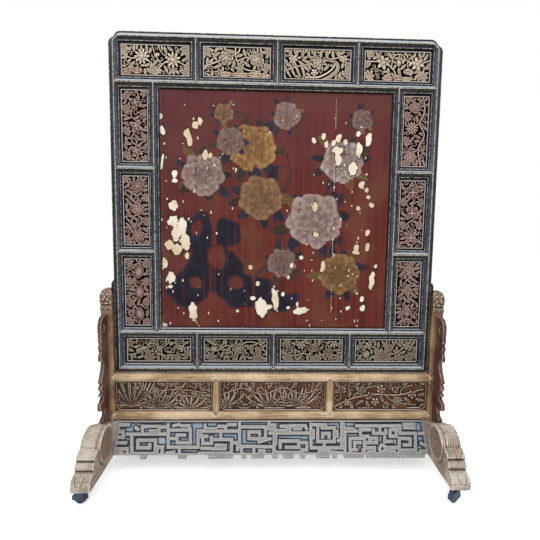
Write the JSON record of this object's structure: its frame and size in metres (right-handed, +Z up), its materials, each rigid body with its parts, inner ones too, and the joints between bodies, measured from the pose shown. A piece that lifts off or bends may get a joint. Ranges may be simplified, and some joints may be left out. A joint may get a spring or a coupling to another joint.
{
  "type": "floor screen",
  "caption": "Standing lacquer screen: moulded frame with pierced carved panels round a painted board, lifting out of a carved footed stand on casters.",
  "frame": {"origin": "on the floor, midway between the two feet", "axes": "+Z up, +Y from the front face to the back, +X to the right of someone facing the front"},
  "size_m": [1.4842, 0.616, 1.7863],
  "materials": {
    "dark_lacquer": "satin lacquer",
    "top_carving": "worn gilt lacquer",
    "side_carving": "worn lacquer",
    "bottom_carving": "worn gilt lacquer",
    "red_lacquer": "painted lacquer",
    "batten_wood": "oiled",
    "worn_rail": "worn satin",
    "post_wood": "worn satin",
    "bracket_wood": "satin lacquer",
    "relief_wood": "worn lacquer",
    "grey_wood": "weathered",
    "foot_wood": "weathered",
    "black_steel": "black paint",
    "black_rubber": "matt"
  },
  "bodies": {
    "stand": {"upper_stand_rail": "worn_rail", "lower_stand_rail": "worn_rail", "left_short_post": "worn_rail", "right_short_post": "worn_rail", "left_relief_panel": "relief_wood", "centre_relief_panel": "relief_wood", "right_relief_panel": "relief_wood", "left_post": "post_wood", "right_post": "post_wood", "left_foot": "foot_wood", "right_foot": "foot_wood", "left_front_bracket": "bracket_wood", "left_back_bracket": "bracket_wood", "right_front_bracket": "bracket_wood", "right_back_bracket": "bracket_wood", "front_apron": "grey_wood", "back_apron": "grey_wood"},
    "screen": {"top_rail": "dark_lacquer", "right_outer_stile": "dark_lacquer", "bottom_rail": "dark_lacquer", "left_outer_stile": "dark_lacquer", "upper_cross_rail": "dark_lacquer", "lower_cross_rail": "dark_lacquer", "left_inner_stile": "dark_lacquer", "right_inner_stile": "dark_lacquer", "left_side_muntin_1": "dark_lacquer", "left_side_muntin_2": "dark_lacquer", "right_side_muntin_1": "dark_lacquer", "right_side_muntin_2": "dark_lacquer", "top_muntin_1": "dark_lacquer", "top_muntin_2": "dark_lacquer", "top_muntin_3": "dark_lacquer", "bottom_muntin_1": "dark_lacquer", "bottom_muntin_2": "dark_lacquer", "bottom_muntin_3": "dark_lacquer", "top_carved_panel_1": "top_carving", "top_carved_panel_2": "top_carving", "top_carved_panel_3": "top_carving", "top_carved_panel_4": "top_carving", "bottom_carved_panel_1": "bottom_carving", "bottom_carved_panel_2": "bottom_carving", "bottom_carved_panel_3": "bottom_carving", "bottom_carved_panel_4": "bottom_carving", "left_carved_panel_1": "side_carving", "left_carved_panel_2": "side_carving", "left_carved_panel_3": "side_carving", "right_carved_panel_1": "side_carving", "right_carved_panel_2": "side_carving", "right_carved_panel_3": "side_carving", "painted_board": "red_lacquer", "upper_back_batten": "batten_wood", "lower_back_batten": "batten_wood"},
    "front_left_caster": {"front_left_caster_fork": "black_steel"},
    "front_left_wheel": {"front_left_caster_wheel": "black_rubber"},
    "front_right_caster": {"front_right_caster_fork": "black_steel"},
    "front_right_wheel": {"front_right_caster_wheel": "black_rubber"},
    "back_left_caster": {"back_left_caster_fork": "black_steel"},
    "back_left_wheel": {"back_left_caster_wheel": "black_rubber"},
    "back_right_caster": {"back_right_caster_fork": "black_steel"},
    "back_right_wheel": {"back_right_caster_wheel": "black_rubber"}
  },
  "joints": [
    {"name": "screen_lift", "type": "slide", "parent": "stand", "child": "screen", "axis": [0, 0, 1], "range_m": [0, 0.36]},
    {"name": "front_left_swivel", "type": "hinge", "parent": "stand", "child": "front_left_caster", "pos_m": [-0.698, -0.27, 0.05], "axis": [0, 0, 1], "continuous": true},
    {"name": "front_left_roll", "type": "hinge", "parent": "front_left_caster", "child": "front_left_wheel", "pos_m": [-0.71384, -0.26777, 0.023], "axis": [-0.1392, -0.9903, 0], "continuous": true},
    {"name": "front_right_swivel", "type": "hinge", "parent": "stand", "child": "front_right_caster", "pos_m": [0.698, -0.27, 0.05], "axis": [0, 0, 1], "continuous": true},
    {"name": "front_right_roll", "type": "hinge", "parent": "front_right_caster", "child": "front_right_wheel", "pos_m": [0.68474, -0.27895, 0.023], "axis": [0.5592, -0.829, 0], "continuous": true},
    {"name": "back_left_swivel", "type": "hinge", "parent": "stand", "child": "back_left_caster", "pos_m": [-0.698, 0.27, 0.05], "axis": [0, 0, 1], "continuous": true},
    {"name": "back_left_roll", "type": "hinge", "parent": "back_left_caster", "child": "back_left_wheel", "pos_m": [-0.68474, 0.27895, 0.023], "axis": [-0.5592, 0.829, 0], "continuous": true},
    {"name": "back_right_swivel", "type": "hinge", "parent": "stand", "child": "back_right_caster", "pos_m": [0.698, 0.27, 0.05], "axis": [0, 0, 1], "continuous": true},
    {"name": "back_right_roll", "type": "hinge", "parent": "back_right_caster", "child": "back_right_wheel", "pos_m": [0.71384, 0.26777, 0.023], "axis": [0.1392, 0.9903, 0], "continuous": true}
  ]
}
